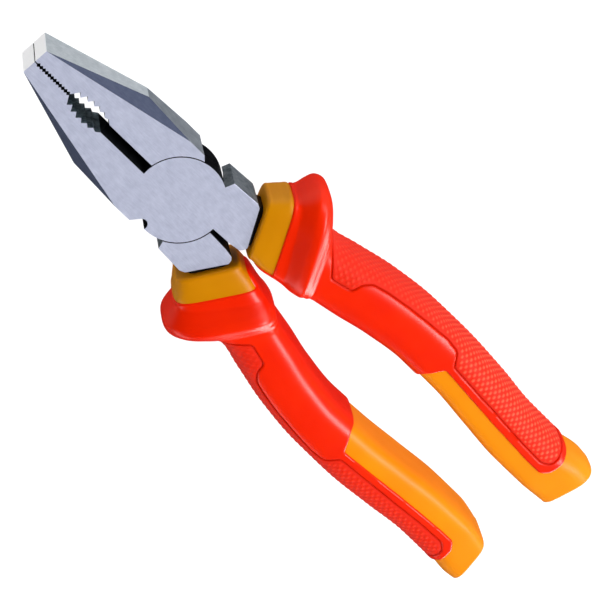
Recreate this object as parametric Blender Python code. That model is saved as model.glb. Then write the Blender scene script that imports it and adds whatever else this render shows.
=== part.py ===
"""Insulated combination pliers, eight inch size, closed, lying flat with the pivot axis upright.

Frame: origin on the pivot axis where it leaves the head's rear face, +X to the jaw tips, +Z up out of the
front face. Each half is one forging: its jaw and its handle lie on opposite sides of the X axis and its
half-thickness lap disc turns on the rivet. The rear half is the front half turned half a turn about X.
Dimensions are in millimetres and heights are from the middle of the head's thickness; finish() turns them
into metres and raises them on to the rear face.
"""

import math

import bmesh
import bpy
from mathutils import Matrix, Vector

MM = 0.001
GAP = 0.3  # clearance between neighbouring pieces

# Head
HEAD_THICK = 12.6
LAP_RADIUS = 12.1  # the two lap discs that the rivet holds together
LAP_SEGMENTS = 72
TIP_X = 53.3
TIP_HALF_WIDTH = 3.95
JAW_WIDEST_X = 25.5
JAW_HALF_WIDTH = 13.05
JAW_REAR_X = 5.0
JAW_FLANK_HALF = 3.0  # half height of the jaw's outer flank where the two bevels come closest
BEVEL_END_X = 10.3  # where a bevel runs out on the head's face
NOTCH_CENTRE = (1.9, 11.6)  # relief between the front half's jaw heel and its lap disc
NOTCH_RADIUS = 1.55

# Jaw faces
SERRATION_START_X = 52.5
SERRATION_PITCH = 0.96
SERRATION_COUNT = 12
SERRATION_DEPTH = 0.5
GRIP_FIRST_X = 39.5
GRIP_PITCH = 2.05
GRIP_COUNT = 6
GRIP_DEPTH = 3.3  # pipe grip, measured to the roots of its teeth in the middle
GRIP_END_DEPTH = 2.4  # and at its first and last tooth
CUTTER_START_X = 28.0
CUTTER_HALF_WIDTH = 1.5
CUTTER_LAND = 0.4  # half height of the cutting edge

# Rivet: its countersunk head is ground flush with the rear face, its shank ends blind in the front disc
RIVET_RADIUS = 3.2
RIVET_HEAD_RADIUS = 4.3
RIVET_HEAD_DEPTH = 1.2
RIVET_END = 4.9  # height of the shank's end
RIVET_CLEARANCE = 0.15

# Shoulder behind the lap disc, as a plan outline from the disc round to the disc
SHOULDER = ((-6.4, 13.3), (-14.9, 13.8), (-16.3, 13.2), (-22.6, 3.3), (-22.3, 2.1), (-21.6, 1.4),
            (-18.9, 0.95))
SHOULDER_ON_DISC = (117.0, 176.9)  # degrees round the disc where the shoulder leaves it
DISC_AT_CUTTER = 0.8  # degrees round the disc where the jaw's working edge meets it
DISC_AT_NOTCH = 88.5  # degrees round the disc where the front half's notch meets it
DISC_AT_HEEL = 74.0  # degrees round the disc where the rear half's jaw heel meets it
NOTCH_ARC = (160, 320)  # degrees round the notch, from the disc to the jaw's heel
NOTCH_STEPS = 8

# Sections of the handle: the inner and the outer point in plan, half the thickness, and how square the
# section is on its inner and on its outer side. It stands upright on the line from inner to outer.
COLLAR_LIP = ((-24.9, 1.3), (-15.8, 16.2), 7.4, 5.0, 4.5)
COLLAR_FRONT = ((-26.0, 1.3), (-16.5, 17.5), 8.3, 5.5, 4.6)
COLLAR_REAR = ((-33.2, 2.2), (-21.0, 21.5), 8.8, 5.5, 4.5)
GUARD_VALLEY = ((-35.0, 2.6), (-22.2, 22.4), 9.1, 5.5, 4.0)
GUARD_SLOPE = ((-39.0, 2.8), (-22.4, 26.4), 11.0, 5.5, 3.5)
GUARD_CREST = ((-42.4, 3.2), (-26.1, 29.3), 12.7, 5.0, 3.0)
GUARD_HEEL = ((-43.6, 4.1), (-28.9, 28.7), 12.4, 5.0, 3.0)
GUARD_FOOT = ((-45.2, 5.7), (-36.6, 21.8), 10.5, 5.5, 2.7)
UNDER_GUARD = ((-39.0, 3.9), (-29.4, 21.3), 9.6, 5.5, 3.6)
GRIP_SECTIONS = (
    GUARD_FOOT,
    ((-53.0, 7.0), (-47.5, 23.1), 10.7, 5.5, 2.5),
    ((-64.0, 9.3), (-60.5, 25.9), 10.8, 5.5, 2.5),
    ((-77.0, 10.9), (-75.0, 27.6), 10.9, 5.5, 2.5),
    ((-90.0, 10.8), (-90.0, 27.9), 10.9, 5.5, 2.5),
    ((-104.5, 9.7), (-105.5, 26.8), 10.7, 5.5, 2.5),
    ((-119.5, 8.6), (-120.0, 25.5), 10.4, 5.5, 2.5),
    ((-131.0, 8.9), (-132.5, 25.7), 10.2, 5.5, 2.6),
    ((-136.6, 9.3), (-140.2, 26.1), 10.0, 5.5, 2.8),
)
HANDLE_END = ((-139.6, 10.0), (-143.8, 25.0), 9.6, 5.5, 2.8)
HANDLE_TIP = ((-140.4, 11.0), (-144.7, 23.9), 8.3, 5.0, 2.6)
SECTION_POINTS = 20
GRIP_STEPS = 2  # rings between two grip sections

# Layers of the handle, as depths below its outer surface
CORE_DEPTH = 3.0
TAIL_STEP = 0.5  # the bare core stands this much lower than the shell
PAD_DEPTH = 1.2
PAD_FLOOR = PAD_DEPTH + GAP
COLLAR_REACH = 0.5  # the bare collar runs this far past its rear section
COLLAR_LEAD = 2.0  # the zone that divides collar from shell starts this far ahead of the lip
COLLAR_BEYOND = 8.0  # and reaches this far past the handle's outer side
COLLAR_INSET = 0.9  # but stops this far short of its inner side, where the shell has a tongue
CORE_BACK = 0.8  # the covered core starts this far behind the lip
CORE_SHORT = 2.0  # and ends this far before the bare tail does
HOLLOW_LEAD = 1.0  # the shell's hollow starts this far ahead of the lip

# Where the bare core shows, in plan: its inner side and the end of the handle
TAIL_OUTLINE = ((-83.0, 4.0), (-83.0, 12.6), (-86.2, 18.3), (-97.0, 17.9), (-108.0, 17.2),
                (-124.7, 16.6), (-130.9, 16.5), (-132.8, 18.5), (-133.4, 22.0), (-132.8, 25.4),
                (-130.6, 31.0), (-150.0, 31.0), (-150.0, 4.0))
# The soft grip pad, in plan: it wraps the outer side of the handle
PAD_OUTLINE = ((-36.6, 21.0), (-43.2, 13.9), (-49.7, 15.5), (-50.4, 18.4), (-52.6, 20.7),
               (-57.6, 22.0), (-64.5, 23.1), (-71.7, 23.9), (-79.6, 24.5), (-84.2, 24.0),
               (-87.0, 20.3), (-99.4, 19.6), (-108.9, 19.1), (-119.0, 18.4), (-128.6, 18.2),
               (-131.0, 19.8), (-131.6, 22.5), (-130.9, 25.5), (-128.4, 31.0), (-36.0, 31.0))

# Sections of the tang, in the same form as those of the handle
TANG_SECTIONS = (
    ((-17.4, 2.2), (-11.4, 11.4), 5.0, 6.0, 6.0),
    ((-24.0, 3.3), (-17.8, 13.4), 5.0, 6.0, 6.0),
    ((-29.6, 5.6), (-23.4, 15.4), 4.4, 5.0, 5.0),
    ((-42.6, 9.8), (-39.6, 16.4), 3.3, 5.0, 5.0),
    ((-62.4, 13.8), (-61.2, 19.8), 3.0, 5.0, 5.0),
    ((-85.0, 16.2), (-84.8, 21.8), 2.8, 5.0, 5.0),
    ((-104.0, 15.4), (-104.6, 20.2), 2.5, 5.0, 5.0),
)
TANG_POINTS = 12
TANG_HOLE_LEAD = 1.5  # the tang's hole starts this far ahead of the collar section it is cut through

SHARP_ANGLE = math.radians(28)  # faces that meet at less than this are shaded as one

# Rear half: the front half turned half a turn about X
HALF_TURN = Matrix.Rotation(math.pi, 4, "X")
OPPOSITE = {"front": Matrix.Identity(4), "rear": HALF_TURN}


def clear_scene():
    for obj in list(bpy.data.objects):
        bpy.data.objects.remove(obj)


def material(name, colour, roughness, metallic=0.0):
    made = bpy.data.materials.new(name)
    made.use_nodes = True
    shader = made.node_tree.nodes["Principled BSDF"]
    shader.inputs["Base Color"].default_value = (*colour, 1.0)
    shader.inputs["Roughness"].default_value = roughness
    shader.inputs["Metallic"].default_value = metallic
    return made


def object_from(name, mesh_builder):
    """A scene object from a bmesh in millimetres, its faces turned outwards."""
    bmesh.ops.recalc_face_normals(mesh_builder, faces=mesh_builder.faces)
    bmesh.ops.scale(mesh_builder, vec=(MM, MM, MM), verts=mesh_builder.verts)
    mesh = bpy.data.meshes.new(name)
    mesh_builder.to_mesh(mesh)
    mesh_builder.free()
    obj = bpy.data.objects.new(name, mesh)
    bpy.context.scene.collection.objects.link(obj)
    return obj


def prism_mesh(outline, low, high):
    """A bmesh of a plan outline drawn up from z = low to z = high."""
    builder = bmesh.new()
    corners = [builder.verts.new((x, y, low)) for x, y in outline]
    base = builder.faces.new(corners)
    drawn = bmesh.ops.extrude_face_region(builder, geom=[base])
    raised = [item for item in drawn["geom"] if isinstance(item, bmesh.types.BMVert)]
    bmesh.ops.translate(builder, vec=(0, 0, high - low), verts=raised)
    return builder


def prism(name, outline, low, high):
    return object_from(name, prism_mesh(outline, low, high))


def loft(name, rings):
    """A closed solid through rings of equal point count, with flat ends."""
    builder = bmesh.new()
    rows = [[builder.verts.new(point) for point in ring] for ring in rings]
    count = len(rows[0])
    for row, following in zip(rows, rows[1:]):
        for i in range(count):
            j = (i + 1) % count
            builder.faces.new((row[i], row[j], following[j], following[i]))
    builder.faces.new(rows[0])
    builder.faces.new(rows[-1])
    return object_from(name, builder)


def combine(target, tool, operation):
    """Runs a Boolean on target, keeps its result as target's mesh and removes the tool."""
    step = target.modifiers.new("boolean", "BOOLEAN")
    step.operation = operation
    step.object = tool
    graph = bpy.context.evaluated_depsgraph_get()
    result = bpy.data.meshes.new_from_object(target.evaluated_get(graph))
    target.modifiers.remove(step)
    target.data = result
    bpy.data.objects.remove(tool)
    return target


def arc(centre, radius, start, end, steps):
    """Points along an arc, from start to end in degrees, both included."""
    angles = [math.radians(start + (end - start) * i / steps) for i in range(steps + 1)]
    return [(centre[0] + radius * math.cos(a), centre[1] + radius * math.sin(a)) for a in angles]


def disc(name, radius, low, high):
    return prism(name, arc((0, 0), radius, 0, 360, LAP_SEGMENTS)[:-1], low, high)


def jaw_face_outline():
    """The jaw's working edge from its tip back to the lap disc: serration, pipe grip, cutter."""
    base = GAP / 2
    points = [(TIP_X, base), (SERRATION_START_X, base)]
    for tooth in range(SERRATION_COUNT):
        start = SERRATION_START_X - tooth * SERRATION_PITCH
        points.append((start - SERRATION_PITCH / 2, base + SERRATION_DEPTH))
        points.append((start - SERRATION_PITCH, base))
    middle = (GRIP_COUNT - 1) / 2
    for tooth in range(GRIP_COUNT):
        off_middle = (tooth - middle) / middle
        root = GRIP_DEPTH - (GRIP_DEPTH - GRIP_END_DEPTH) * off_middle**2
        x = GRIP_FIRST_X - tooth * GRIP_PITCH
        points.append((x, root))
        if tooth < GRIP_COUNT - 1:
            points.append((x - GRIP_PITCH / 2, root - GRIP_PITCH / 2))
    points.append((CUTTER_START_X, CUTTER_HALF_WIDTH))
    points.append((CUTTER_START_X - CUTTER_HALF_WIDTH, base))
    return points


def half_outline(notched):
    """The whole plan outline of a half's head: jaw at +Y, shoulder at -Y, disc between."""
    off_disc, on_disc = SHOULDER_ON_DISC
    steps = LAP_SEGMENTS // 3
    outline = jaw_face_outline()
    outline += arc((0, 0), LAP_RADIUS, DISC_AT_CUTTER, -off_disc, steps)
    outline += [(x, -y) for x, y in SHOULDER]
    disc_end = DISC_AT_NOTCH if notched else DISC_AT_HEEL
    outline += arc((0, 0), LAP_RADIUS, -on_disc, disc_end - 360, steps)
    if notched:
        outline += arc(NOTCH_CENTRE, NOTCH_RADIUS, *NOTCH_ARC, NOTCH_STEPS)
    outline += [(JAW_REAR_X, JAW_HALF_WIDTH), (JAW_WIDEST_X, JAW_HALF_WIDTH), (TIP_X, TIP_HALF_WIDTH)]
    return outline


def bevel_jaw(builder):
    """Slices the flat bevel off the jaw's outer edge, on both faces of the head."""
    for face in (1, -1):
        half = face * HEAD_THICK / 2
        tip = Vector((TIP_X, TIP_HALF_WIDTH, half))
        widest = Vector((JAW_WIDEST_X, JAW_HALF_WIDTH, face * JAW_FLANK_HALF))
        end = Vector((BEVEL_END_X, JAW_HALF_WIDTH, half))
        normal = (widest - tip).cross(end - tip) * face
        if normal.y < 0:
            normal.negate()
        geometry = builder.verts[:] + builder.edges[:] + builder.faces[:]
        cut = bmesh.ops.bisect_plane(builder, geom=geometry, plane_co=widest, plane_no=normal,
                                     clear_outer=True, dist=1e-5)
        rim = [item for item in cut["geom_cut"] if isinstance(item, bmesh.types.BMEdge)]
        bmesh.ops.contextual_create(builder, geom=rim)


def cutter_groove(name, face):
    """The V that leaves the cutting edge standing in the middle of the head's thickness."""
    reach = 1.0  # beyond the head's face
    slope = (CUTTER_HALF_WIDTH - GAP / 2) / (HEAD_THICK / 2 - CUTTER_LAND)
    low = face * CUTTER_LAND
    high = face * (HEAD_THICK / 2 + reach)
    wide = CUTTER_HALF_WIDTH + slope * reach
    section = [(-reach, low), (GAP / 2, low), (wide, high), (-reach, high)]
    rings = [[(x, y, z) for y, z in section] for x in (CUTTER_START_X, LAP_RADIUS / 2)]
    groove = loft(name, rings)
    if face > 0:
        combine(groove, disc("kept_disc", LAP_RADIUS, -HEAD_THICK, HEAD_THICK), "DIFFERENCE")
    return groove


def rivet_rings(clearance):
    """Rings of the countersunk rivet, or of its bore when clearance is added."""
    rear = -HEAD_THICK / 2
    profile = [(rear - clearance, RIVET_HEAD_RADIUS), (rear + RIVET_HEAD_DEPTH, RIVET_RADIUS),
               (RIVET_END + clearance, RIVET_RADIUS)]
    steps = LAP_SEGMENTS // 2
    rings = []
    for z, radius in profile:
        rings.append([(x, y, z) for x, y in arc((0, 0), radius + clearance, 0, 360, steps)[:-1]])
    return rings


def section_ring(section, depth, count):
    """Points of one upright rounded section, depth below its outer surface, on the handle at +Y."""
    (ix, iy), (ox, oy), half_thick, inner_square, outer_square = section
    inner = Vector((ix, iy, 0))
    outer = Vector((ox, oy, 0))
    across = (outer - inner).normalized()
    middle = (inner + outer) / 2
    half_width = (outer - inner).length / 2 - depth
    half_thick = half_thick - depth
    ring = []
    for i in range(count):
        angle = 2 * math.pi * (i + 0.5) / count
        c, s = math.cos(angle), math.sin(angle)
        power = 2 / (outer_square if c > 0 else inner_square)
        w = math.copysign(abs(c) ** power, c) * half_width
        h = math.copysign(abs(s) ** power, s) * half_thick
        point = middle + across * w
        ring.append((point.x, point.y, h))
    return ring


def blend(values, t):
    """Catmull-Rom interpolation between the middle two of four numbers."""
    a, b, c, d = values
    return 0.5 * (2 * b + (c - a) * t + (2 * a - 5 * b + 4 * c - d) * t * t + (3 * b - a - 3 * c + d) * t**3)


def smooth_sections(sections, steps):
    """Sections with smooth ones put in between, the given ones kept."""
    flat = [(*section[0], *section[1], *section[2:]) for section in sections]
    made = []
    for i in range(len(flat) - 1):
        around = [flat[max(i - 1, 0)], flat[i], flat[i + 1], flat[min(i + 2, len(flat) - 1)]]
        for step in range(steps):
            numbers = [blend(four, step / steps) for four in zip(*around)]
            made.append((numbers[0:2], numbers[2:4], *numbers[4:]))
    made.append(sections[-1])
    return made


def shifted(section, along):
    """A section moved along the handle, away from the head, square to its own plane."""
    (ix, iy), (ox, oy), *form = section
    length = math.hypot(ox - ix, oy - iy)
    dx, dy = -(oy - iy) / length * along, (ox - ix) / length * along
    return ((ix + dx, iy + dy), (ox + dx, oy + dy), *form)


def handle_solid(name, depth, guard=False, start=0.0, shorten=0.0):
    """The handle's outer form, depth below its surface. Start moves the head end along the handle."""
    neck = [shifted(COLLAR_LIP, start), COLLAR_FRONT, COLLAR_REAR]
    neck += [GUARD_VALLEY, GUARD_SLOPE, GUARD_CREST, GUARD_HEEL] if guard else [UNDER_GUARD]
    grip = smooth_sections(GRIP_SECTIONS, GRIP_STEPS)
    ends = [shifted(HANDLE_END, -shorten), shifted(HANDLE_TIP, -shorten)]
    rings = [section_ring(section, depth, SECTION_POINTS) for section in neck + grip]
    for section in ends:
        rings.append(section_ring(section, min(depth, section[2] / 2), SECTION_POINTS))
    return loft(name, rings)


def grown(outline, amount):
    """A plan outline moved outwards by amount along the normals of its corners."""
    count = len(outline)
    area = sum(outline[i][0] * outline[(i + 1) % count][1] - outline[(i + 1) % count][0] * outline[i][1]
               for i in range(count))
    turn = 1 if area > 0 else -1
    result = []
    for i in range(count):
        before, here, after = (Vector(outline[(i + k) % count]) for k in (-1, 0, 1))
        first = (here - before).normalized()
        second = (after - here).normalized()
        normal = Vector((first.y + second.y, -first.x - second.x)).normalized() * turn
        stretch = 1 / max(0.5, normal.dot(Vector((first.y, -first.x)) * turn))
        result.append(tuple(here + normal * amount * stretch))
    return result


def collar_outline(clearance):
    """Plan outline of the zone in which the core is bare as the collar, grown by clearance."""
    corners = []
    inset = COLLAR_INSET - clearance
    for section, along in ((COLLAR_LIP, -COLLAR_LEAD - clearance), (COLLAR_REAR, COLLAR_REACH + clearance)):
        inner, outer = (Vector(point) for point in shifted(section, along)[:2])
        across = (outer - inner).normalized()
        corners.append((tuple(inner + across * inset), tuple(outer + across * COLLAR_BEYOND)))
    (head_inner, head_outer), (rear_inner, rear_outer) = corners
    return [head_inner, head_outer, rear_outer, rear_inner]


TALL = 20.0  # half height of the upright prisms that divide the handle's layers


def core(name):
    """Inner insulation: bare at the collar and along the tail, under the shell elsewhere."""
    collar = handle_solid(name, 0.0)
    collar = combine(collar, prism("collar_zone", collar_outline(0.0), -TALL, TALL), "INTERSECT")
    tail = handle_solid("tail", TAIL_STEP)
    tail = combine(tail, prism("tail_zone", TAIL_OUTLINE, -TALL, TALL), "INTERSECT")
    middle = handle_solid("middle", CORE_DEPTH, start=CORE_BACK, shorten=CORE_SHORT)
    collar = combine(collar, middle, "UNION")
    collar = combine(collar, tail, "UNION")
    return combine(collar, tang_solid("tang_hole", GAP), "DIFFERENCE")


def shell(name):
    """Outer insulation with the finger guard, open along the tail and round the collar."""
    made = handle_solid(name, 0.0, guard=True)
    made = combine(made, prism("collar_zone", collar_outline(GAP), -TALL, TALL), "DIFFERENCE")
    made = combine(made, prism("tail_zone", grown(TAIL_OUTLINE, GAP), -TALL, TALL), "DIFFERENCE")
    made = combine(made, handle_solid("hollow", CORE_DEPTH - GAP, start=-HOLLOW_LEAD), "DIFFERENCE")
    recess = prism("pad_zone", grown(PAD_OUTLINE, GAP), -TALL, TALL)
    recess = combine(recess, handle_solid("recess_floor", PAD_FLOOR), "DIFFERENCE")
    return combine(made, recess, "DIFFERENCE")


def pad(name):
    """Soft textured pad, let into the shell on the outer side of the grip."""
    made = handle_solid(name, 0.0)
    made = combine(made, prism("pad_zone", PAD_OUTLINE, -TALL, TALL), "INTERSECT")
    return combine(made, handle_solid("pad_floor", PAD_DEPTH), "DIFFERENCE")


def tang_solid(name, clearance):
    """The forging's tang inside the handle, on the handle at +Y."""
    sections = list(smooth_sections(TANG_SECTIONS, 2))
    if clearance:
        sections = sections[2:]
        sections.append(shifted(TANG_SECTIONS[-1], clearance))
        sections[0] = shifted(sections[0], -TANG_HOLE_LEAD)
    return loft(name, [section_ring(section, -clearance, TANG_POINTS) for section in sections])


def forging(name, turn):
    """One steel half: jaw at +Y, lap disc in the front half of the thickness, tang at -Y."""
    half = HEAD_THICK / 2
    builder = prism_mesh(half_outline(notched=turn == OPPOSITE["front"]), -half, half)
    bmesh.ops.recalc_face_normals(builder, faces=builder.faces)
    bevel_jaw(builder)
    made = object_from(name, builder)
    made = combine(made, disc("lap_recess", LAP_RADIUS + GAP, -half - 1, GAP / 2), "DIFFERENCE")
    for face in (1, -1):
        made = combine(made, cutter_groove("groove", face), "DIFFERENCE")
    tang = tang_solid("tang", 0.0)
    tang.data.transform(HALF_TURN)
    made = combine(made, tang, "UNION")
    bore = loft("bore", rivet_rings(RIVET_CLEARANCE))
    bore.data.transform(turn)
    return combine(made, bore, "DIFFERENCE")


def rivet(name):
    return loft(name, rivet_rings(0.0))


def finish(obj, look, turn):
    """Puts a piece on its own half, gives it its material and shades its round faces smooth."""
    obj.data.transform(Matrix.Translation((0, 0, HEAD_THICK / 2 * MM)) @ turn)
    obj.data.materials.clear()
    obj.data.materials.append(look)
    obj.data.shade_smooth()
    obj.data.set_sharp_from_angle(angle=SHARP_ANGLE)


def build():
    clear_scene()
    steel = material("ground_steel", (0.58, 0.58, 0.62), 0.35, 1.0)
    pin_steel = material("rivet_steel", (0.50, 0.50, 0.54), 0.35, 1.0)
    yellow = material("yellow_insulation", (0.90, 0.42, 0.01), 0.35)
    red = material("red_insulation", (0.88, 0.05, 0.02), 0.35)
    soft_red = material("soft_red_grip", (0.80, 0.05, 0.03), 0.55)
    for half, turn in OPPOSITE.items():
        finish(forging(f"{half}_jaw_forging", turn), steel, turn)
        onto_handle = turn @ HALF_TURN
        finish(core(f"{half}_handle_core"), yellow, onto_handle)
        finish(shell(f"{half}_handle_shell"), red, onto_handle)
        finish(pad(f"{half}_grip_pad"), soft_red, onto_handle)
    finish(rivet("pivot_rivet"), pin_steel, Matrix.Identity(4))


build()
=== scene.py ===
"""The looks of the insulated combination pliers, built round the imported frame.

Lengths are in millimetres in the row frame, but heights are measured from the middle of the head's
thickness; MM and MID turn them into metres above the head's rear face. Handles are worked out for the
side at +Y, which is the rear half's, and turned half a turn about X for the front half's.
"""

import math

import bmesh
import bpy
import numpy as np
from mathutils import Matrix, Vector


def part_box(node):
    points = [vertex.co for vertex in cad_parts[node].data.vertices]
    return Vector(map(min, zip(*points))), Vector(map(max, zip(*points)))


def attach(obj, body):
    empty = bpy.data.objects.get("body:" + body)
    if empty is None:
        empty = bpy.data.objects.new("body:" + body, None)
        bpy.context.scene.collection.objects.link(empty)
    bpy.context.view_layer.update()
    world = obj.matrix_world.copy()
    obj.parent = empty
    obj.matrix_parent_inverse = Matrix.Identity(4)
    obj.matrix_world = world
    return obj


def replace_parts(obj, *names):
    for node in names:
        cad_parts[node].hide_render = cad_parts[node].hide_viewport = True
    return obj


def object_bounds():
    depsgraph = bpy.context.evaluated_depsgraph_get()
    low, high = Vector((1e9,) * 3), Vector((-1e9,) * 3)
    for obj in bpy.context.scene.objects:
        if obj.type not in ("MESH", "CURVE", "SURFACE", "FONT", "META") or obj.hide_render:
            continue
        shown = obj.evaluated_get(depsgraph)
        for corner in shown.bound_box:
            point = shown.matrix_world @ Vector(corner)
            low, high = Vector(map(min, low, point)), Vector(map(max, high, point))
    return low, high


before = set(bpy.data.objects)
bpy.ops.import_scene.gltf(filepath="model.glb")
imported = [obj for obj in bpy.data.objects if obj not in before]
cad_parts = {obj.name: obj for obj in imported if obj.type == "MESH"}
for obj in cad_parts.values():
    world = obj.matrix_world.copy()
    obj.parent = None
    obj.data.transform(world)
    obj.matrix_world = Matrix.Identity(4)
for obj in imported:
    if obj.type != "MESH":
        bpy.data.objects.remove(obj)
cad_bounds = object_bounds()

MM = 0.001
HEAD_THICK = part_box("front_jaw_forging")[1].z / MM
MID = HEAD_THICK / 2
MIDDLE = (-0.045, 0, 0)  # about the middle of the tool, in metres, which the lamps and cards face

# Sections of the handle's outer skin: x and y of its inner and of its outer point in plan, half its
# thickness, and how square its inner and its outer side are (2 is an ellipse). The first row of each
# pair in NECK is with the finger guard, the second is the same place without it.
NECK = (
    ((-26.2, 1.0, -16.8, 17.4, 8.2, 5.5, 4.8),) * 2,
    ((-29.6, 1.2, -18.8, 19.6, 8.6, 5.5, 4.8),) * 2,
    ((-33.2, 1.9, -21.0, 21.4, 8.8, 5.5, 4.6),) * 2,
    ((-34.9, 2.3, -22.0, 22.1, 8.9, 5.5, 4.4), (-35.4, 2.8, -24.4, 21.4, 9.0, 5.5, 4.2)),
    ((-36.8, 2.6, -22.2, 23.0, 9.0, 5.5, 4.0), (-37.0, 3.2, -26.6, 21.4, 9.2, 5.5, 4.0)),
    ((-38.9, 2.9, -22.7, 25.3, 10.3, 5.5, 3.5), (-38.8, 3.7, -28.6, 21.2, 9.4, 5.5, 3.8)),
    ((-40.8, 3.2, -23.9, 27.9, 11.9, 4.6, 3.2), (-40.5, 4.1, -30.6, 21.0, 9.6, 5.5, 3.6)),
    ((-42.3, 3.6, -26.0, 28.8, 12.5, 4.4, 3.0), (-41.9, 4.6, -32.4, 20.9, 9.8, 5.5, 3.4)),
    ((-43.4, 4.2, -28.3, 28.1, 11.9, 4.4, 3.0), (-43.1, 5.1, -34.0, 20.8, 9.9, 5.5, 3.2)),
    ((-44.2, 4.8, -31.6, 25.7, 10.9, 5.5, 2.9), (-43.9, 5.4, -35.4, 20.8, 10.0, 5.5, 2.9)),
    ((-45.1, 5.5, -35.6, 22.0, 10.3, 5.5, 2.8), (-44.8, 5.7, -36.5, 20.9, 10.0, 5.5, 2.8)),
)
GRIP = (
    (-46.4, 5.6, -38.8, 20.9, 10.3, 4.4, 2.9),
    (-53.0, 6.6, -47.6, 22.7, 10.5, 3.7, 3.1),
    (-64.0, 8.9, -60.6, 25.4, 10.7, 3.5, 3.2),
    (-77.0, 10.5, -75.0, 27.0, 10.8, 3.6, 3.2),
    (-90.0, 10.4, -90.0, 27.3, 10.8, 4.0, 3.2),
)
GRIP_END = {  # the two halves' ends differ a little
    "front": (
        (-104.5, 9.3, -105.5, 26.7, 10.6, 4.2, 3.1),
        (-119.5, 8.2, -120.0, 25.6, 10.3, 4.4, 3.0),
        (-131.0, 8.3, -132.5, 25.7, 10.1, 4.8, 3.0),
        (-136.8, 8.7, -140.8, 27.0, 9.9, 5.0, 3.0),
        (-140.4, 9.0, -144.3, 26.8, 9.8, 5.0, 3.0),
    ),
    "rear": (
        (-104.5, 9.3, -105.5, 26.4, 10.6, 4.2, 3.1),
        (-119.5, 8.2, -120.0, 25.3, 10.3, 4.4, 3.0),
        (-131.0, 8.3, -132.5, 25.6, 10.1, 4.8, 3.0),
        (-136.4, 9.1, -139.8, 26.3, 9.9, 5.0, 3.0),
        (-139.4, 9.8, -143.3, 26.0, 9.8, 5.0, 3.0),
    ),
}
INNER_SHIFT = {"front": -0.25, "rear": 0.25}  # of the inner side in y, between the places below
SHIFT_STARTS = (-20, -36)  # the shift comes in between these two x
SHIFT_ENDS = (-70, -90)  # and goes out between these
COLLAR_END = 2  # the row of NECK where the bare collar ends and the shell starts
LIP_RADIUS = 1.4
TIP_RADIUS = 1.1
GIRTH = 64  # roughly the distance round a section, which sets how many points it gets
RING_SAMPLES = 721

# Plan outlines: where the core is bare along the tail, and where the soft pad lies in the shell
TAIL_OUTLINE = ((-83.0, 2.0), (-83.0, 12.6), (-86.2, 18.1), (-97.0, 17.4), (-108.0, 16.6),
                (-124.7, 15.8), (-131.1, 15.8), (-133.2, 18.0), (-133.9, 22.0), (-133.2, 25.4),
                (-130.6, 33.0), (-152.0, 33.0), (-152.0, 2.0))
PAD_OUTLINE = ((-36.6, 21.0), (-43.2, 13.9), (-49.7, 15.5), (-50.4, 18.4), (-52.6, 20.7),
               (-57.6, 22.0), (-64.5, 23.1), (-71.7, 23.9), (-79.6, 24.5), (-84.2, 24.0),
               (-87.0, 20.3), (-99.4, 19.6), (-108.9, 19.1), (-119.0, 18.4), (-128.6, 18.2),
               (-131.0, 19.8), (-131.6, 22.5), (-130.9, 25.5), (-128.4, 35.0), (-34.0, 35.0))
TAIL_CORNER = 0.9
PAD_CORNER = 1.0
CORNER_SHARE = 0.45  # of a side is the most that a rounded corner takes
TONGUE = 0.7  # width of the shell beside the collar, along its inner side
COLLAR_AHEAD = 4.0  # the collar's outline starts this far ahead of the lip
COLLAR_ACROSS = 9.0  # and reaches this far beyond the outer side

# Depths below the outer skin
COLLAR_DEPTH = 0.45  # of the core at the collar
TAIL_DEPTH = 0.65  # of the core along the tail
UNDER_SHELL = 2.3  # of the core under the shell
SHELL_FLOOR = 2.1  # of the shell's inner side
PAD_SINK = 0.1  # of the pad between its dots
DOT_HEIGHT = 0.12
GROOVE_DEPTH = 0.4  # of the groove round the pad
PAD_FLOOR = 1.5  # of the pad's underside and of the shell under it

# Distances from an outline over which a depth or a colour changes
CORE_DIVE = (0.3, 1.6)  # the core goes down under the shell
BED_DIVE = (0.1, 1.2)  # the shell goes down under the pad
GROOVE_HALF = 0.35  # half the groove's width
GROOVE_SHADE = (0.1, 0.55)  # the groove's painted shade fades out
DOTS_START = (0.6, 1.2)  # the pad's plain border turns into dots

EDGE_RADIUS = 0.5  # of the shell's edges over the bare core
EDGE_SLOPE = 3.0  # of those edges below their rounding
EDGE_REACH = 3.0  # how far beyond the outline that slope goes on
PAD_SLOPE = 1.6  # of the pad's edge below the groove
SHELL_OVERRUN = 0.45  # how far the shell's edge runs on past its outline, down into the core
PAD_OVERRUN = 0.4  # the same for the pad's edge, down into the shell
THINNEST = 0.15  # the shell's least thickness
BARE_RINGS = 9  # the rings at the handle's very end that the shell leaves to the core

DOT_PITCH = (1.85, 2.5)  # of the grip's dots, along it and round it
DOT_EDGE = (-0.1, 0.8)  # the values of the dots' wave at a dot's foot and at its top

PLASTIC_CREASE = math.radians(50)  # edges sharper than these stay sharp
STEEL_CREASE = math.radians(46)

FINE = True
STEP = 0.3 if FINE else 0.6
PAD_STEP = 0.25 if FINE else 0.4


def smoothstep(low, high, x):
    """0 at low and 1 at high, with a smooth change between them."""
    t = np.clip((x - low) / (high - low), 0, 1)
    return t * t * (3 - 2 * t)


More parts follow.
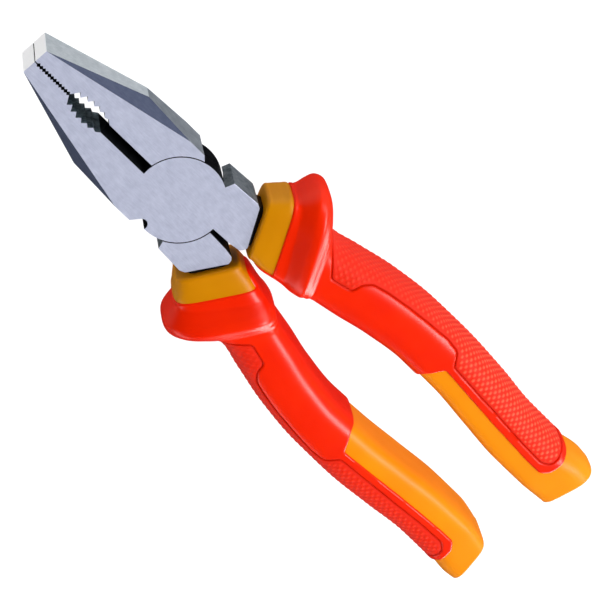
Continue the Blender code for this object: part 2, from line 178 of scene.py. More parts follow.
def monotone_cubic(t, values, places):
    """Values at these places of curves through the columns of values at t, with no overshoot."""
    h = np.diff(t)[:, None]
    slope = np.diff(values, axis=0) / h
    tangent = np.zeros_like(values)
    same = slope[:-1] * slope[1:] > 0
    w1 = 2 * h[1:] + h[:-1]
    w2 = h[1:] + 2 * h[:-1]
    with np.errstate(divide="ignore", invalid="ignore"):
        mean = (w1 + w2) / (w1 / slope[:-1] + w2 / slope[1:])
    tangent[1:-1] = np.where(same, mean, 0)
    tangent[0], tangent[-1] = slope[0], slope[-1]
    i = np.clip(np.searchsorted(t, places, side="right") - 1, 0, len(t) - 2)
    u = ((places - t[i]) / np.diff(t)[i])[:, None]
    hi = h[i]
    return ((2 * u**3 - 3 * u**2 + 1) * values[i] + (u**3 - 2 * u**2 + u) * hi * tangent[i]
            + (3 * u**2 - 2 * u**3) * values[i + 1] + (u**3 - u**2) * hi * tangent[i + 1])


def half_sections(half, column):
    """One half's table of sections, with the guard (column 0) or without it (column 1)."""
    rows = np.array([pair[column] for pair in NECK] + list(GRIP) + list(GRIP_END[half]))
    x = rows[:, 0]
    rows[:, 1] += INNER_SHIFT[half] * smoothstep(*SHIFT_STARTS, x) * (1 - smoothstep(*SHIFT_ENDS, x))
    return rows


def dense_sections(half, step):
    """Sections of the skin every step along it, with the guard and without it."""
    guarded = half_sections(half, 0)
    plain = half_sections(half, 1)
    moved = np.diff(guarded, axis=0)
    advance = np.hypot(moved[:, [0, 2]], moved[:, [1, 3]]).max(axis=1)
    t = np.concatenate([[0], np.cumsum(advance)])
    places = np.linspace(0, t[-1], int(t[-1] / step) + 1)
    return monotone_cubic(t, guarded, places), monotone_cubic(t, plain, places)


def rounded_end(section, radius, way, steps=7):
    """Sections that round off an end: moved along by way and drawn in over a quarter circle."""
    ix, iy, ox, oy, half_thick, inner_square, outer_square = section
    across = np.array([ox - ix, oy - iy]) / math.hypot(ox - ix, oy - iy)
    outward = np.array([-across[1], across[0]]) * way
    rows = []
    for i in range(1, steps + 1):
        angle = math.pi / 2 * i / steps
        shift = outward * radius * math.sin(angle)
        inset = radius * (1 - math.cos(angle))
        inner = np.array([ix, iy]) + shift + across * inset
        outer = np.array([ox, oy]) + shift - across * inset
        rows.append((*inner, *outer, half_thick - inset, inner_square, outer_square))
    return rows


def ring_grid(sections, depth, count):
    """Points round every section, drawn in by depth and evenly spaced from its outermost point."""
    angle = np.linspace(0, 2 * math.pi, RING_SAMPLES)
    c, s = np.cos(angle), np.sin(angle)
    turn = np.linspace(0, 1, count, endpoint=False)
    grid = np.empty((len(sections), count, 3))
    for row, (ix, iy, ox, oy, half_thick, inner_square, outer_square) in enumerate(sections):
        width = math.hypot(ox - ix, oy - iy)
        power = 2 / np.where(c > 0, outer_square, inner_square)
        w = np.sign(c) * np.abs(c) ** power * (width / 2 - depth)
        h = np.sign(s) * np.abs(s) ** power * (half_thick - depth)
        length = np.concatenate([[0], np.cumsum(np.hypot(np.diff(w), np.diff(h)))])
        w = np.interp(turn * length[-1], length, w)
        h = np.interp(turn * length[-1], length, h)
        grid[row, :, 0] = (ix + ox) / 2 + (ox - ix) / width * w
        grid[row, :, 1] = (iy + oy) / 2 + (oy - iy) / width * w
        grid[row, :, 2] = h
    return grid


def grid_normals(grid):
    """Outward normals at the points of a grid."""
    along = np.gradient(grid, axis=0)
    around = np.roll(grid, -1, axis=1) - np.roll(grid, 1, axis=1)
    normal = np.cross(around, along)
    normal /= np.linalg.norm(normal, axis=2, keepdims=True) + 1e-12
    outward = grid - grid.mean(axis=1, keepdims=True)
    return normal * np.sign((normal * outward).sum(axis=2).mean())


def rounded_outline(outline, radius, steps=6):
    """A plan outline with its corners rounded by parabolic arcs."""
    points = []
    count = len(outline)
    for i in range(count):
        before, here, after = (np.array(outline[(i + k) % count], float) for k in (-1, 0, 1))
        back, on = before - here, after - here
        length_back, length_on = np.linalg.norm(back), np.linalg.norm(on)
        a = here + back / length_back * min(radius, length_back * CORNER_SHARE)
        b = here + on / length_on * min(radius, length_on * CORNER_SHARE)
        for u in np.linspace(0, 1, steps):
            points.append((1 - u) ** 2 * a + 2 * u * (1 - u) * here + u * u * b)
    return np.array(points)


def inside_distance(grid, outline):
    """Distance in plan from every grid point to the outline, positive inside it."""
    x, y = grid[..., 0], grid[..., 1]
    nearest = np.full(x.shape, np.inf)
    inside = np.zeros(x.shape, bool)
    for (ax, ay), (bx, by) in zip(outline, np.roll(outline, -1, axis=0)):
        dx, dy = bx - ax, by - ay
        if dx == 0 and dy == 0:
            continue
        t = np.clip(((x - ax) * dx + (y - ay) * dy) / (dx * dx + dy * dy), 0, 1)
        nearest = np.minimum(nearest, np.hypot(x - ax - t * dx, y - ay - t * dy))
        if ay != by:
            crosses = (ay > y) != (by > y)
            inside ^= crosses & (x < ax + (y - ay) / (by - ay) * dx)
    return np.where(inside, nearest, -nearest)


def collar_outline():
    """Plan outline of the bare collar, from ahead of the lip to the shell's edge and its tongue."""
    ends = []
    for row, back_by in ((0, -COLLAR_AHEAD), (COLLAR_END, 0.0)):
        section = np.array(NECK[row][0])
        inner, outer = section[:2], section[2:4]
        across = (outer - inner) / np.linalg.norm(outer - inner)
        shift = np.array([-across[1], across[0]]) * back_by
        ends.append((inner + across * TONGUE + shift, outer + across * COLLAR_ACROSS + shift))
    (lip_inner, lip_outer), (rear_inner, rear_outer) = ends
    return np.array([lip_inner, lip_outer, rear_outer, rear_inner])


def mesh_object(name, vertices, faces, turn):
    """A mesh object from points in millimetres, turned over for its half and raised by MID."""
    mesh = bpy.data.meshes.new(name)
    placed = Matrix.Translation((0, 0, MID * MM)) @ turn @ Matrix.Scale(MM, 4)
    mesh.from_pydata(vertices.tolist(), [], faces)
    mesh.transform(placed)
    builder = bmesh.new()
    builder.from_mesh(mesh)
    bmesh.ops.recalc_face_normals(builder, faces=builder.faces)
    builder.to_mesh(mesh)
    builder.free()
    mesh.shade_smooth()
    mesh.set_sharp_from_angle(angle=PLASTIC_CREASE)
    obj = bpy.data.objects.new(name, mesh)
    bpy.context.scene.collection.objects.link(obj)
    return obj


def store_values(obj, name, values):
    """Keeps one number for each vertex, for the material to read."""
    obj.data.attributes.new(name, "FLOAT", "POINT").data.foreach_set("value", values)


def outer_values(values, used):
    """Values on a plate's outer grid, and 0 on its inner one, for the vertices that it used."""
    return np.concatenate([values.ravel(), np.zeros(values.size)])[used]


def loft_mesh(grid):
    """Vertices and faces of a closed loft through every ring of the grid."""
    rows, count = grid.shape[:2]
    index = np.arange(rows * count).reshape(rows, count)
    onward = np.roll(index, -1, axis=1)
    quads = np.stack([index[:-1], onward[:-1], onward[1:], index[1:]], axis=-1).reshape(-1, 4)
    faces = quads.tolist() + [index[0].tolist(), index[-1].tolist()]
    return grid.reshape(-1, 3), faces


def plate_mesh(outer, inner, keep):
    """A closed plate between two grids over the cells that keep marks, and the grid points it used."""
    rows, count = outer.shape[:2]
    index = np.arange(rows * count).reshape(rows, count)
    onward = np.roll(index, -1, axis=1)
    a, b = index[:-1][keep], onward[:-1][keep]
    c, d = onward[1:][keep], index[1:][keep]
    top = np.stack([a, b, c, d], axis=-1)
    total = rows * count
    edges = np.concatenate([top[:, [0, 1]], top[:, [1, 2]], top[:, [2, 3]], top[:, [3, 0]]])
    key = edges[:, 0] * total + edges[:, 1]
    mirrored = edges[:, 1] * total + edges[:, 0]
    rim = edges[~np.isin(key, mirrored)]
    walls = np.stack([rim[:, 1], rim[:, 0], rim[:, 0] + total, rim[:, 1] + total], axis=-1)
    faces = np.concatenate([top, top[:, ::-1] + total, walls])
    used, faces = np.unique(faces, return_inverse=True)
    vertices = np.concatenate([outer.reshape(-1, 3), inner.reshape(-1, 3)])[used]
    return vertices, faces.reshape(-1, 4).tolist(), used


def cell_mask(inside):
    """Cells all of whose corners are inside, with single corners that touch trimmed off."""
    onward = np.roll(inside, -1, axis=1)
    keep = inside[:-1] & inside[1:] & onward[:-1] & onward[1:]
    for _ in range(3):
        up = np.zeros_like(keep)
        up[1:] = keep[:-1]
        down = np.zeros_like(keep)
        down[:-1] = keep[1:]
        left, right = np.roll(keep, 1, axis=1), np.roll(keep, -1, axis=1)
        keep = keep & ((up | down) & (left | right))
        up_left, up_right = np.roll(up, 1, axis=1), np.roll(up, -1, axis=1)
        keep = keep & ~(up_left & ~up & ~left) & ~(up_right & ~up & ~right)
    return keep


def edge_round(distance, radius):
    """Depth of a rounded edge at this distance inside it, going on down beyond the edge."""
    inside = np.clip(distance, 0, radius)
    depth = radius - np.sqrt(np.maximum(radius**2 - (radius - inside) ** 2, 0))
    return depth + np.clip(-distance, 0, EDGE_REACH) * EDGE_SLOPE


def groove_line(pad):
    """1 along the groove round the pad, fading to 0 beside it; it places the groove's painted shade and
    its lower gloss.
    """
    return 1 - smoothstep(*GROOVE_SHADE, np.abs(pad))


def handle_sections(half, step):
    """The skin's sections with and without the guard, with rounded ends, and the points round each."""
    guarded, plain = dense_sections(half, step)
    lip = rounded_end(guarded[0], LIP_RADIUS, -1)[::-1]
    tip = rounded_end(guarded[-1], TIP_RADIUS, 1)
    guarded = np.concatenate([lip, guarded, tip])
    plain = np.concatenate([lip, plain, tip])
    return guarded, plain, int(GIRTH / step)


def build_core(half, turn):
    """The yellow core: just under the skin where it is bare, and deeper under the shell."""
    _, plain, count = handle_sections(half, STEP)
    grid = ring_grid(plain, 0, count)
    normal = grid_normals(grid)
    collar = inside_distance(grid, collar_outline())
    tail = inside_distance(grid, rounded_outline(TAIL_OUTLINE, TAIL_CORNER))
    bare = np.maximum(collar, tail)
    bare_depth = np.where(collar > tail, COLLAR_DEPTH, TAIL_DEPTH)
    depth = bare_depth + (UNDER_SHELL - bare_depth) * smoothstep(*CORE_DIVE, -bare)
    vertices, faces = loft_mesh(grid - normal * depth[..., None])
    obj = mesh_object(f"{half}_handle_core_moulding", vertices, faces, turn)
    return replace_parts(obj, f"{half}_handle_core")


def build_shell(half, turn):
    """The red shell with the guard, cut away over the bare core and sunk under the pad."""
    guarded, plain, count = handle_sections(half, STEP)
    grid = ring_grid(guarded, 0, count)
    normal = grid_normals(grid)
    collar = inside_distance(grid, collar_outline())
    tail = inside_distance(grid, rounded_outline(TAIL_OUTLINE, TAIL_CORNER))
    pad = inside_distance(grid, rounded_outline(PAD_OUTLINE, PAD_CORNER))
    edge = -np.maximum(collar, tail)
    depth = edge_round(edge, EDGE_RADIUS)
    depth = depth + GROOVE_DEPTH * (1 - smoothstep(0, GROOVE_HALF, -pad))
    depth = depth + (PAD_FLOOR - GROOVE_DEPTH) * smoothstep(*BED_DIVE, pad)
    outer = grid - normal * np.minimum(depth, SHELL_FLOOR - THINNEST)[..., None]
    inner = ring_grid(plain, SHELL_FLOOR, count)
    inside = edge > -SHELL_OVERRUN
    inside[-BARE_RINGS:] = False
    vertices, faces, used = plate_mesh(outer, inner, cell_mask(inside))
    obj = mesh_object(f"{half}_handle_shell_moulding", vertices, faces, turn)
    store_values(obj, "groove", outer_values(groove_line(pad), used))
    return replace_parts(obj, f"{half}_handle_shell")


def grip_texture(grid):
    """Height from 0 to 1 of staggered oval dots, laid out along and round the grip."""
    advance = np.linalg.norm(np.diff(grid.mean(axis=1), axis=0), axis=1)
    along = np.concatenate([[0], np.cumsum(advance)])
    around = np.linalg.norm(np.diff(grid, axis=1, append=grid[:, :1]), axis=2)
    around = np.cumsum(around, axis=1) - around
    total = around[:, -1:] + around[:, 1:2]
    around = np.where(around > total / 2, around - total, around)
    u = along[:, None] / DOT_PITCH[0]
    v = around / DOT_PITCH[1]
    wave = np.cos(2 * math.pi * u) * np.cos(2 * math.pi * v)
    return smoothstep(*DOT_EDGE, wave)


def build_pad(half, turn):
    """The soft pad in the shell's bed: raised dots inside a plain border and a groove."""
    guarded, plain, count = handle_sections(half, PAD_STEP)
    grid = ring_grid(guarded, 0, count)
    normal = grid_normals(grid)
    pad = inside_distance(grid, rounded_outline(PAD_OUTLINE, PAD_CORNER))
    texture = grip_texture(grid) * smoothstep(*DOTS_START, pad)
    depth = PAD_SINK - DOT_HEIGHT * texture
    depth = depth + (GROOVE_DEPTH - PAD_SINK) * (1 - smoothstep(0, GROOVE_HALF, pad))
    depth = depth + PAD_SLOPE * np.clip(-pad, 0, 1)
    outer = grid - normal * depth[..., None]
    inner = ring_grid(plain, PAD_FLOOR, count)
    vertices, faces, used = plate_mesh(outer, inner, cell_mask(pad > -PAD_OVERRUN))
    obj = mesh_object(f"{half}_grip_pad_moulding", vertices, faces, turn)
    store_values(obj, "dot_height", outer_values(texture, used))
    store_values(obj, "groove", outer_values(groove_line(pad), used))
    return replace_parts(obj, f"{half}_grip_pad")


# Steel: the looks' numbers, and the places of the faces that have them; the bevels' dark is painted
# reflection and the jaws' ends' white is painted highlight

BRIGHT, DARK, BEVEL, FLANK, GRIP_STEEL, TIP, REAR_FLANK, SHOULDER = range(8)
TIP_FACE_X = 52.9  # faces ahead of this are the jaws' ends
LAP_OUTER = 13.0  # the lap joint's walls lie within this of the axis
JAW_INNER_Y = 4.0  # the jaws' working faces lie within this of the X axis
PIPE_GRIP = (28.5, 41)  # the pipe grip's faces lie between these x
BEVEL_REAR_X = 6
BEVEL_TILT = 0.05  # the least square of a bevel's normal.z
HEEL = (4.9, 12.5)  # the black heel of a jaw lies within this x and this y
JAW_WIDEST_X = 25.5
SHOULDER_FRONT_X = -5.7
SHOULDER_REAR_X = -16.4
SHOULDER_Y = 11.5  # the shoulders lie outside this
NECK_X = -24.0  # behind this the forging is inside the handle
LEVEL = 0.02  # how far from the ground faces' height a face still counts as one of them

SHOULDER_BLOCK = (-6.6, 12.9)  # behind this x and outside this y the edges are well rounded
SHOULDER_ROUND = 0.9
FINE_ROUND = 0.14  # of the forging's other edges
RIVET_ZONE = 6  # edges this near the axis stay sharp
WELD = 2e-6  # metres
FLAT = math.radians(0.6)  # triangles that meet at less than this are one face
EDGE_ANGLE = math.radians(20)  # faces that meet at more than this have an edge to round


def face_look(face):
    """Which look a face of a forging has, from where it lies: mostly a finish, but painted light on the
    bevels and the jaws' ends.
    """
    centre = face.calc_center_median() / MM
    centre.z -= MID
    normal = face.normal
    radius = math.hypot(centre.x, centre.y)
    if centre.x > TIP_FACE_X:
        return TIP
    if abs(abs(centre.z) - MID) < LEVEL:
        return BRIGHT
    if centre.x < SHOULDER_FRONT_X and abs(centre.y) > SHOULDER_Y:
        return SHOULDER if centre.x > SHOULDER_REAR_X else DARK
    if radius < LAP_OUTER:
        return DARK
    if centre.x > 0:
        if abs(centre.y) < JAW_INNER_Y:
            return GRIP_STEEL if PIPE_GRIP[0] < centre.x < PIPE_GRIP[1] else DARK
        if normal.z * normal.z > BEVEL_TILT and centre.x > BEVEL_REAR_X:
            return BEVEL
        if centre.x < HEEL[0] and abs(centre.y) < HEEL[1]:
            return DARK
        return FLANK if centre.x > JAW_WIDEST_X else REAR_FLANK
    return DARK


def soft_edge_radius(middle):
    """How far an edge is rounded, in millimetres, from where its middle lies."""
    if math.hypot(middle.x, middle.y) < RIVET_ZONE or middle.x < NECK_X:
        return 0
    if middle.x < SHOULDER_BLOCK[0] and abs(middle.y) > SHOULDER_BLOCK[1]:
        return SHOULDER_ROUND
    return FINE_ROUND


def build_forging(half, steel):
    """The CAD forging with its triangles joined into faces, a look on each and softened edges."""
    node = f"{half}_jaw_forging"
    builder = bmesh.new()
    builder.from_mesh(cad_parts[node].data)
    bmesh.ops.remove_doubles(builder, verts=builder.verts, dist=WELD)
    bmesh.ops.dissolve_limit(builder, angle_limit=FLAT, verts=builder.verts,
                             edges=builder.edges, delimit={"NORMAL"})
    bmesh.ops.recalc_face_normals(builder, faces=builder.faces)
    for face in builder.faces:
        face.material_index = face_look(face)
    for radius, steps in ((SHOULDER_ROUND, 4), (FINE_ROUND, 2)):
        sharp = []
        for edge in builder.edges:
            if len(edge.link_faces) != 2 or edge.calc_face_angle(0) < EDGE_ANGLE:
                continue
            middle = (edge.verts[0].co + edge.verts[1].co) / 2 / MM
            if soft_edge_radius(middle) == radius:
                sharp.append(edge)
        bmesh.ops.bevel(builder, geom=sharp, offset=radius * MM, segments=steps, profile=0.5,
                        affect="EDGES", clamp_overlap=True, material=-1)
    mesh = bpy.data.meshes.new(f"{half}_jaw_steel")
    builder.to_mesh(mesh)
    builder.free()
    mesh.shade_smooth()
    mesh.set_sharp_from_angle(angle=STEEL_CREASE)
    obj = bpy.data.objects.new(f"{half}_jaw_steel", mesh)
    bpy.context.scene.collection.objects.link(obj)
    flat = obj.modifiers.new("flat_faces", "WEIGHTED_NORMAL")
    flat.keep_sharp = True
    flat.weight = 100
    for look in steel:
        mesh.materials.append(look)
    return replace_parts(obj, node)


# Materials

# colour of the painted shade in the groove round the pad
GROOVE_PAINTED_SHADE = (0.7, 0.6, 0.6)
GROOVE_GLOSS = 0.03
PAD_GLOSS = 0.15
COLLAR_SHADE_X = (-42, -30)  # the collar's painted shade comes in between these
DOT_HIGHLIGHT_X = (-60, -95)  # the dots' painted highlight grows between these, towards the handle's end
HIGHLIGHT_NEAR, HIGHLIGHT_FAR = 0.25, 1.0  # how strong that painted highlight is at those two x


def node_material(name):
    """A new material, its node tree and its Principled shader."""
    made = bpy.data.materials.new(name)
    made.use_nodes = True
    tree = made.node_tree
    return made, tree, tree.nodes["Principled BSDF"]


def add(tree, kind, **settings):
    """A new node, with settings for its inputs or its own properties."""
    node = tree.nodes.new(kind)
    for key, value in settings.items():
        if key in node.inputs:
            node.inputs[key].default_value = value
        else:
            setattr(node, key, value)
    return node


def object_noise(tree, scale, detail=4.0, stretch=(1, 1, 1)):
    """Noise in object space; scale is in features per millimetre."""
    place = add(tree, "ShaderNodeTexCoord")
    mapping = add(tree, "ShaderNodeMapping")
    mapping.inputs["Scale"].default_value = [scale / MM * s for s in stretch]
    tree.links.new(place.outputs["Object"], mapping.inputs["Vector"])
    noise = add(tree, "ShaderNodeTexNoise", Scale=1.0, Detail=detail)
    tree.links.new(mapping.outputs["Vector"], noise.inputs["Vector"])
    return noise.outputs["Fac"]


def ramp(tree, source, low, high, colour_low, colour_high):
    """A colour that runs from colour_low where source is low to colour_high where it is high."""
    node = add(tree, "ShaderNodeValToRGB")
    node.color_ramp.elements[0].position = low
    node.color_ramp.elements[1].position = high
    node.color_ramp.elements[0].color = (*colour_low, 1)
    node.color_ramp.elements[1].color = (*colour_high, 1)
    tree.links.new(source, node.inputs["Fac"])
    return node.outputs["Color"]


def spread(tree, source, low, high):
    """A source of 0 to 1 spread out to run from low to high."""
    node = add(tree, "ShaderNodeMapRange")
    node.inputs["To Min"].default_value = low
    node.inputs["To Max"].default_value = high
    tree.links.new(source, node.inputs["Value"])
    return node.outputs["Result"]


def bump(tree, shader, source, strength, distance):
    """Relief from source; distance is in millimetres."""
    node = add(tree, "ShaderNodeBump", Strength=strength, Distance=distance * MM)
    tree.links.new(source, node.inputs["Height"])
    tree.links.new(node.outputs["Normal"], shader.inputs["Normal"])


def along_handle(tree, reach, low, high):
    """A value that runs from low to high between the two x of reach, in millimetres."""
    place = add(tree, "ShaderNodeTexCoord")
    split = add(tree, "ShaderNodeSeparateXYZ")
    tree.links.new(place.outputs["Object"], split.inputs["Vector"])
    node = add(tree, "ShaderNodeMapRange")
    node.inputs["From Min"].default_value = reach[0] * MM
    node.inputs["From Max"].default_value = reach[1] * MM
    node.inputs["To Min"].default_value = low
    node.inputs["To Max"].default_value = high
    tree.links.new(split.outputs["X"], node.inputs["Value"])
    return node.outputs["Result"]


def multiplied(tree, first, second):
    """The product of two colours."""
    node = add(tree, "ShaderNodeMix", data_type="RGBA", blend_type="MULTIPLY")
    colours = [socket for socket in node.inputs if socket.type == "RGBA"]
    node.inputs["Factor"].default_value = 1.0
    tree.links.new(first, colours[0])
    tree.links.new(second, colours[1])
    return [socket for socket in node.outputs if socket.type == "RGBA"][0]


def groove_shade(tree):
    """1 in the groove and 0 outside it, and the painted shade that darkens the groove."""
    groove = add(tree, "ShaderNodeAttribute", attribute_name="groove").outputs["Fac"]
    return groove, ramp(tree, groove, 0, 1, (1, 1, 1), GROOVE_PAINTED_SHADE)


def moulded(name, dark, light, rough, grain, gloss, painted_collar_shade=(1, 1, 1)):
    """Moulded plastic: faint cloudiness in colour, uneven roughness, a fine moulded grain, painted shade
    over the collar and painted shade in the groove round the pad.
    """
    made, tree, shader = node_material(name)
    cloud = object_noise(tree, 0.06, 3.0)
    tint = ramp(tree, cloud, 0.3, 0.7, dark, light)
    # painted shade over the collar: darker and less red ahead of COLLAR_SHADE_X
    shade = ramp(tree, along_handle(tree, COLLAR_SHADE_X, 0, 1), 0, 1, (1, 1, 1), painted_collar_shade)
    # painted shade along the groove round the pad
    groove, painted_groove_shade = groove_shade(tree)
    tree.links.new(multiplied(tree, multiplied(tree, tint, shade), painted_groove_shade), shader.inputs["Base Color"])
    tree.links.new(spread(tree, object_noise(tree, 0.5, 5.0), rough - 0.04, rough + 0.05),
                   shader.inputs["Roughness"])
    tree.links.new(spread(tree, groove, gloss, GROOVE_GLOSS), shader.inputs["Specular IOR Level"])
    bump(tree, shader, object_noise(tree, 3.0, 3.0), grain, 0.02)
    return made


def dotted_grip(name, hollow, dot, rough):
    """Soft pad: a painted highlight makes the raised dots paler than the hollows, unevenly, and more so
    towards the end.
    """
    made, tree, shader = node_material(name)
    height = add(tree, "ShaderNodeAttribute", attribute_name="dot_height")
    cloud = object_noise(tree, 0.9, 3.0)
    uneven = add(tree, "ShaderNodeMath", operation="MULTIPLY")
    tree.links.new(height.outputs["Fac"], uneven.inputs[0])
    tree.links.new(spread(tree, cloud, 0.55, 1.3), uneven.inputs[1])
    # painted highlight on the dots, stronger towards the handle's end
    highlit = add(tree, "ShaderNodeMath", operation="MULTIPLY")
    tree.links.new(uneven.outputs[0], highlit.inputs[0])
    tree.links.new(along_handle(tree, DOT_HIGHLIGHT_X, HIGHLIGHT_NEAR, HIGHLIGHT_FAR), highlit.inputs[1])
    # painted shade along the groove round the pad
    groove, painted_groove_shade = groove_shade(tree)
    tint = ramp(tree, highlit.outputs[0], 0.0, 1.0, hollow, dot)
    tree.links.new(multiplied(tree, tint, painted_groove_shade), shader.inputs["Base Color"])
    shader.inputs["Roughness"].default_value = rough
    tree.links.new(spread(tree, groove, PAD_GLOSS, GROOVE_GLOSS), shader.inputs["Specular IOR Level"])
    bump(tree, shader, object_noise(tree, 2.5, 3.0), 0.2, 0.02)
    return made


def ground_steel(name, dark, light, rough, stretch, metallic):
    """Ground steel: long fine scratches in one direction over a faint mottle."""
    made, tree, shader = node_material(name)
    mottle = object_noise(tree, 0.5, 6.0)
    scratch = object_noise(tree, 1.0, 6.0, stretch)
    mixed = add(tree, "ShaderNodeMath", operation="ADD")
    tree.links.new(mottle, mixed.inputs[0])
    tree.links.new(scratch, mixed.inputs[1])
    halved = add(tree, "ShaderNodeMath", operation="MULTIPLY")
    halved.inputs[1].default_value = 0.5
    tree.links.new(mixed.outputs[0], halved.inputs[0])
    pattern = halved.outputs[0]
    tree.links.new(ramp(tree, pattern, 0.3, 0.7, dark, light), shader.inputs["Base Color"])
    tree.links.new(spread(tree, pattern, rough - 0.08, rough + 0.08), shader.inputs["Roughness"])
    shader.inputs["Metallic"].default_value = metallic
    shader.inputs["Specular IOR Level"].default_value = 0.2
    bump(tree, shader, scratch, 0.12, 0.02)
    return made


def black_oxide(name, dark, light):
    """Steel with a thin blackened skin, mottled in colour and relief."""
    made, tree, shader = node_material(name)
    mottle = object_noise(tree, 0.8, 5.0)
    tree.links.new(ramp(tree, mottle, 0.3, 0.75, dark, light), shader.inputs["Base Color"])
    shader.inputs["Metallic"].default_value = 0.3
    shader.inputs["Roughness"].default_value = 0.42
    shader.inputs["Specular IOR Level"].default_value = 0.25
    bump(tree, shader, mottle, 0.2, 0.03)
    return made


def steel_looks():
    """The forgings' looks, in the order of the numbers that face_look gives: finishes, with painted dark
    reflection on the bevels and a painted highlight on the jaws' ends.
    """
    milled = (0.6, 3, 3)
    ground = ground_steel("steel_ground", (0.475, 0.505, 0.655), (0.635, 0.665, 0.825),
                          rough=0.34, stretch=(0.5, 3.5, 1), metallic=0.25)
    black = black_oxide("steel_black_oxide", (0.003, 0.003, 0.004), (0.012, 0.013, 0.016))
    # the bevels' dark slate is a painted dark reflection, the same seen from every side
    bevel = ground_steel("steel_bevel_painted_reflection", (0.055, 0.068, 0.12), (0.088, 0.105, 0.17),
                         rough=0.4, stretch=milled, metallic=0.3)
    flank = ground_steel("steel_flank", (0.38, 0.43, 0.47), (0.62, 0.66, 0.70),
                         rough=0.4, stretch=milled, metallic=0.2)
    pipe_grip = black_oxide("steel_pipe_grip", (0.05, 0.07, 0.09), (0.26, 0.34, 0.38))
    # the jaws' end faces are painted near white: a painted highlight on ground steel
    tip = ground_steel("steel_tip_painted_highlight", (0.98, 0.98, 1.0), (1.0, 1.0, 1.0),
                       rough=0.4, stretch=milled, metallic=0.0)
    rear_flank = ground_steel("steel_rear_flank", (0.15, 0.175, 0.21), (0.36, 0.39, 0.43),
                              rough=0.4, stretch=milled, metallic=0.3)
    shoulder = ground_steel("steel_shoulder", (0.06, 0.08, 0.10), (0.28, 0.31, 0.34),
                            rough=0.4, stretch=(1, 1.5, 1.5), metallic=0.3)
    return [ground, black, bevel, flank, pipe_grip, tip, rear_flank, shoulder]


def yellow_look():
    """The core's plastic, with painted shade that makes it a little darker and less red at the collar
    than along the tail.
    """
    return moulded("yellow_insulation", (0.87, 0.25, 0.0), (0.94, 0.29, 0.0),
                   rough=0.38, grain=0.06, gloss=0.25, painted_collar_shade=(0.68, 0.84, 1.0))


def red_look():
    """The shell's plastic, glossier than the core's."""
    return moulded("red_insulation", (0.84, 0.013, 0.0), (0.93, 0.021, 0.0),
                   rough=0.30, grain=0.04, gloss=0.4)


def pad_looks():
    """The two halves' pads: the front one's dots carry the stronger painted highlight."""
    return {
        "front": dotted_grip("soft_red_grip", (0.78, 0.018, 0.004), (0.97, 0.11, 0.05), rough=0.55),
        "rear": dotted_grip("soft_red_grip_plain", (0.80, 0.017, 0.003), (0.90, 0.03, 0.006), rough=0.55),
    }


# The studio, in metres and watts

AMBIENT = 0.62  # radiance of the room's walls
ROOM = 1.5  # height of the room and half its width
FLOOR_GLOW = 1.0
FLOOR_GAP = 0.0005
KEY_POWER = 9.0
RIM_POWER = 5.0
FILL_POWER = 1.8
CAMERA_LENS = 142.39
CAMERA_PLACE = (0.22722, -0.14391, 0.55461 + MID * MM)
CAMERA_TURN = (-28.252, -7.405, -130.935)  # degrees


def build_stage():
    """White paper that glows, so that it stays white under the object's own shadow."""
    builder = bmesh.new()
    bmesh.ops.create_grid(builder, x_segments=8, y_segments=8, size=ROOM)
    mesh = bpy.data.meshes.new("studio_floor")
    builder.to_mesh(mesh)
    builder.free()
    floor = bpy.data.objects.new("studio_floor", mesh)
    floor.location.z = cad_bounds[0][2] - FLOOR_GAP
    bpy.context.scene.collection.objects.link(floor)
    made, tree, shader = node_material("studio_paper")
    tint = object_noise(tree, 0.01, 2.0)
    paper = ramp(tree, tint, 0.2, 0.8, (0.14, 0.14, 0.14), (0.18, 0.18, 0.18))
    tree.links.new(paper, shader.inputs["Base Color"])
    shader.inputs["Roughness"].default_value = 1.0
    shader.inputs["Specular IOR Level"].default_value = 0.0
    shader.inputs["Emission Color"].default_value = (1, 1, 1, 1)
    shader.inputs["Emission Strength"].default_value = FLOOR_GLOW
    mesh.materials.append(made)
    floor.visible_glossy = False
    floor.visible_shadow = False


def area_light(name, place, target, size, power):
    """A rectangular lamp that the camera doesn't see."""
    data = bpy.data.lights.new(name, "AREA")
    data.shape = "RECTANGLE"
    data.size, data.size_y = size
    data.energy = power
    lamp = bpy.data.objects.new(name, data)
    lamp.location = place
    lamp.rotation_euler = (Vector(target) - Vector(place)).to_track_quat("-Z", "Y").to_euler()
    lamp.visible_camera = False
    bpy.context.scene.collection.objects.link(lamp)
    return lamp


def build_world():
    """White behind the paper, and black to everything but the camera."""
    world = bpy.data.worlds.new("studio")
    world.use_nodes = True
    tree = world.node_tree
    background = tree.nodes["Background"]
    path = add(tree, "ShaderNodeLightPath")
    seen = ramp(tree, path.outputs["Is Camera Ray"], 0, 1, (0, 0, 0), (1, 1, 1))
    tree.links.new(seen, background.inputs["Color"])
    background.inputs["Strength"].default_value = 1.0
    bpy.context.scene.world = world


def reflection_card(name, direction, size, radiance):
    """A card a metre away that shows only in reflections."""
    away = Vector(direction).normalized()
    card = area_light(name, away, MIDDLE, size, radiance * math.pi * size[0] * size[1])
    card.visible_diffuse = False


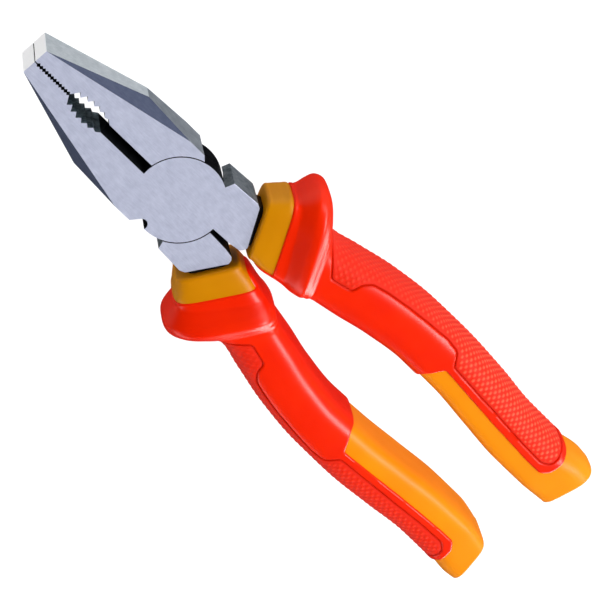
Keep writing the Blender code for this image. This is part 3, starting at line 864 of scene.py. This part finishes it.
def build_room():
    """A ceiling and four walls that light matt surfaces softly and evenly, and that nothing reflects."""
    high = ROOM / 2
    places = [((0, 0, ROOM), (ROOM * 2, ROOM * 2))]
    for x, y in ((1, 0), (-1, 0), (0, 1), (0, -1)):
        places.append(((x * ROOM, y * ROOM, high), (ROOM * 2, ROOM)))
    for index, (place, size) in enumerate(places):
        target = (0, 0, 0) if index == 0 else (0, 0, high)
        panel = area_light(f"room_{index}", place, target, size, AMBIENT * math.pi * size[0] * size[1])
        panel.visible_glossy = False
        panel.data.cycles.use_multiple_importance_sampling = False


def build_lights():
    """A key from behind and the right, a rim over the handles' ends, a low fill and three cards."""
    area_light("key", (-0.62, -0.66, 0.85), MIDDLE, (0.5, 0.5), KEY_POWER)
    area_light("rim", (-1.25, 0.15, 0.42), MIDDLE, (0.5, 0.25), RIM_POWER)
    fill = area_light("fill", (-0.12, -1.0, 0.32), MIDDLE, (0.8, 0.5), FILL_POWER)
    fill.visible_glossy = False
    reflection_card("heel_card", (-0.95, 0.05, -0.02), (0.9, 0.5), 9.0)
    reflection_card("side_card", (-0.07, -0.85, 0.5), (0.8, 0.4), 3.0)
    reflection_card("left_card", (-0.15, 0.9, 0.35), (0.8, 0.4), 3.0)


def build_camera():
    """The photograph's viewpoint: over the jaws' tips, from the front half's handle's side."""
    data = bpy.data.cameras.new("photo_view")
    data.lens = CAMERA_LENS
    data.sensor_width = 36
    camera = bpy.data.objects.new("photo_view", data)
    camera.location = CAMERA_PLACE
    camera.rotation_euler = [math.radians(angle) for angle in CAMERA_TURN]
    bpy.context.scene.collection.objects.link(camera)
    bpy.context.scene.camera = camera


def build_object(steel, yellow, red, soft):
    """The two halves, the front one made like the rear one and turned over, and the rivet's steel."""
    turns = {"rear": Matrix.Identity(4), "front": Matrix.Rotation(math.pi, 4, "X")}
    for half, turn in turns.items():
        body = f"{half}_half"
        forging = build_forging(half, steel)
        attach(forging, body)
        for build, look, slot in ((build_core, yellow, "yellow_insulation"),
                                  (build_shell, red, "red_insulation"),
                                  (build_pad, soft[half], "soft_red_grip")):
            piece = build(half, turn)
            piece.data.materials.append(look)
            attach(piece, body)
    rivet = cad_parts["pivot_rivet"]
    rivet.data.materials.clear()
    rivet.data.materials.append(steel[BRIGHT])


build_object(steel_looks(), yellow_look(), red_look(), pad_looks())
build_stage()
build_world()
build_room()
build_lights()
build_camera()
bpy.context.scene.view_settings.view_transform = "Standard"
